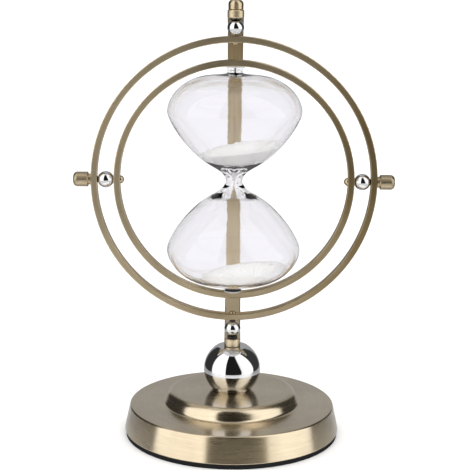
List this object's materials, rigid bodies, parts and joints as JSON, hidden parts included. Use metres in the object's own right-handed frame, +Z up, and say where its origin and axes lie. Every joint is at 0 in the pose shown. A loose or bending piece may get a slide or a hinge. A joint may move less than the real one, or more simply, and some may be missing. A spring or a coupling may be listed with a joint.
{
  "type": "gimbal hourglass",
  "caption": "Hourglass with a clear double bulb and white sand in two turning gimbal rings, carried by a C-shaped arm on a chrome ball and a stepped round bronze base.",
  "frame": {"origin": "centre of the base pad's underside, on the vertical axis that the outer ring turns about", "axes": "+Z up along that axis; X along the inner ring's pivots; the open front faces -Y and the arm goes round behind at +Y"},
  "size_m": [0.202, 0.1784, 0.2772],
  "materials": {
    "antique_bronze": "brushed antique bronze plating, satin, concentric brush lines on the base",
    "antique_bronze_light": "brushed antique bronze, satin, slightly lighter than the rings",
    "chrome_ball": "polished mirror chrome",
    "blackened_steel": "blackened, low gloss",
    "screw_bronze": "bronze-plated steel screw, satin",
    "plain_steel": "zinc-plated steel fastener",
    "weight_iron": "raw grey iron casting",
    "foot_pad": "matte black foam rubber",
    "clear_glass": "clear blown borosilicate glass",
    "clear_adhesive": "clear cured adhesive",
    "white_sand": "fine dry white sand"
  },
  "bodies": {
    "stand": {"base_bolt": "plain_steel", "base_pad": "foot_pad", "base_shell": "antique_bronze", "base_weight": "weight_iron", "bolt_washer": "plain_steel", "c_arm": "antique_bronze", "lower_neck_bush": "blackened_steel", "lower_pivot_screw": "screw_bronze", "lower_spacer_ball": "chrome_ball", "lower_washer": "blackened_steel", "stand_ball": "chrome_ball", "top_knob": "antique_bronze_light", "upper_pivot_screw": "screw_bronze", "upper_spacer_ball": "chrome_ball", "upper_washer": "blackened_steel"},
    "outer_gimbal": {"left_knob": "antique_bronze_light", "left_neck_bush": "blackened_steel", "left_pivot_screw": "screw_bronze", "left_spacer_ball": "chrome_ball", "left_washer": "antique_bronze_light", "outer_ring": "antique_bronze", "right_knob": "antique_bronze_light", "right_neck_bush": "blackened_steel", "right_pivot_screw": "screw_bronze", "right_spacer_ball": "chrome_ball", "right_washer": "antique_bronze_light"},
    "inner_gimbal": {"glass_bulb": "clear_glass", "inner_ring": "antique_bronze", "lower_glass_seat": "clear_adhesive", "lower_sand": "white_sand", "upper_glass_seat": "clear_adhesive", "upper_sand": "white_sand"}
  },
  "joints": [
    {"name": "outer_ring_turn", "type": "hinge", "parent": "stand", "child": "outer_gimbal", "pos_m": [0, 0, 0.16511], "axis": [0, 0, 1], "continuous": true},
    {"name": "inner_ring_flip", "type": "hinge", "parent": "outer_gimbal", "child": "inner_gimbal", "pos_m": [0, 0, 0.16511], "axis": [1, 0, 0], "continuous": true}
  ]
}
